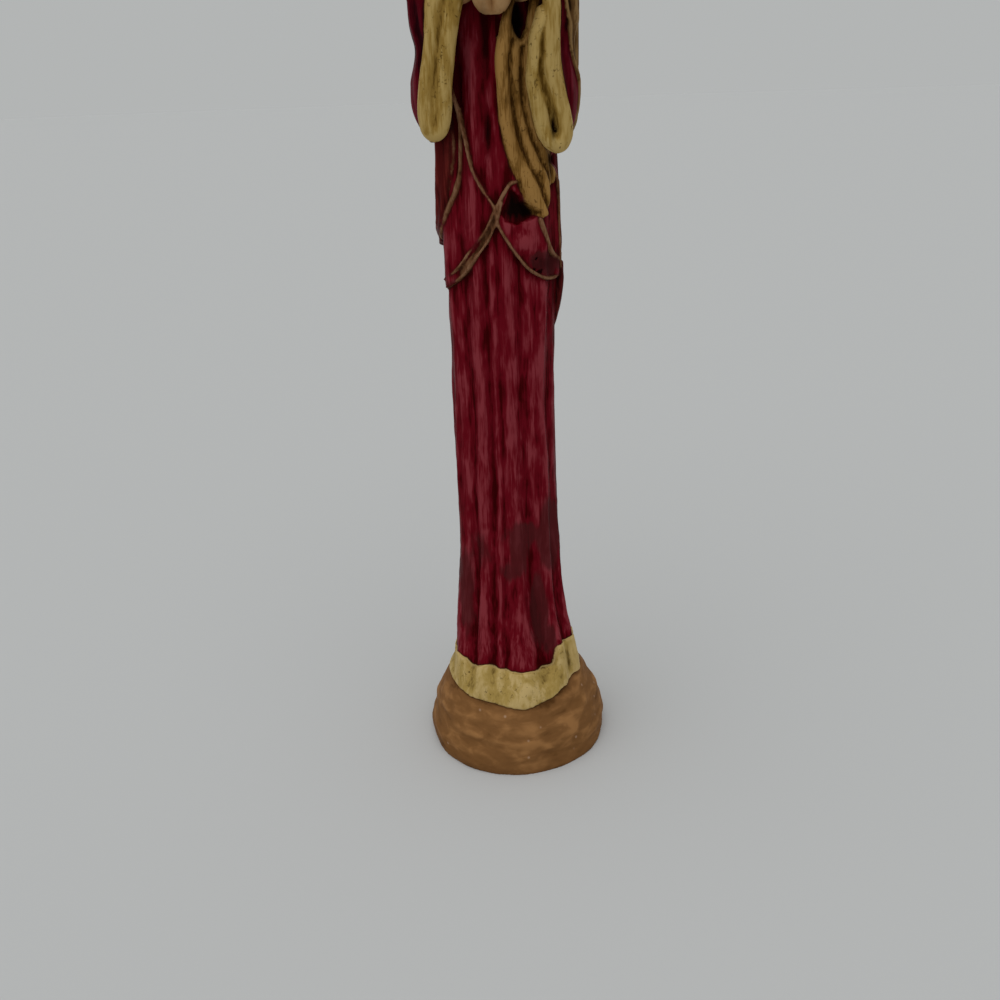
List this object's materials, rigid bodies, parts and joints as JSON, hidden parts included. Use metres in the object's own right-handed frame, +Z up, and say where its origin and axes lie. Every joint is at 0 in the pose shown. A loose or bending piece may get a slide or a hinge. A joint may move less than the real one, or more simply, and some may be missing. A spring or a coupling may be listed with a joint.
{
  "type": "angel figurine",
  "caption": "Tall slender standing angel figurine on a low round mound, hands joined, with hanging cuffs, draped sash, long folded gown and folded wings.",
  "frame": {"origin": "centre of the mound's flat underside", "axes": "+Z up the figure, -Y the way the figure faces, +X to the viewer's right"},
  "size_m": [0.0524, 0.0548, 0.28],
  "materials": {
    "painted_casting": "satin"
  },
  "bodies": {
    "root": {"angel_figurine": "painted_casting"}
  },
  "joints": []
}
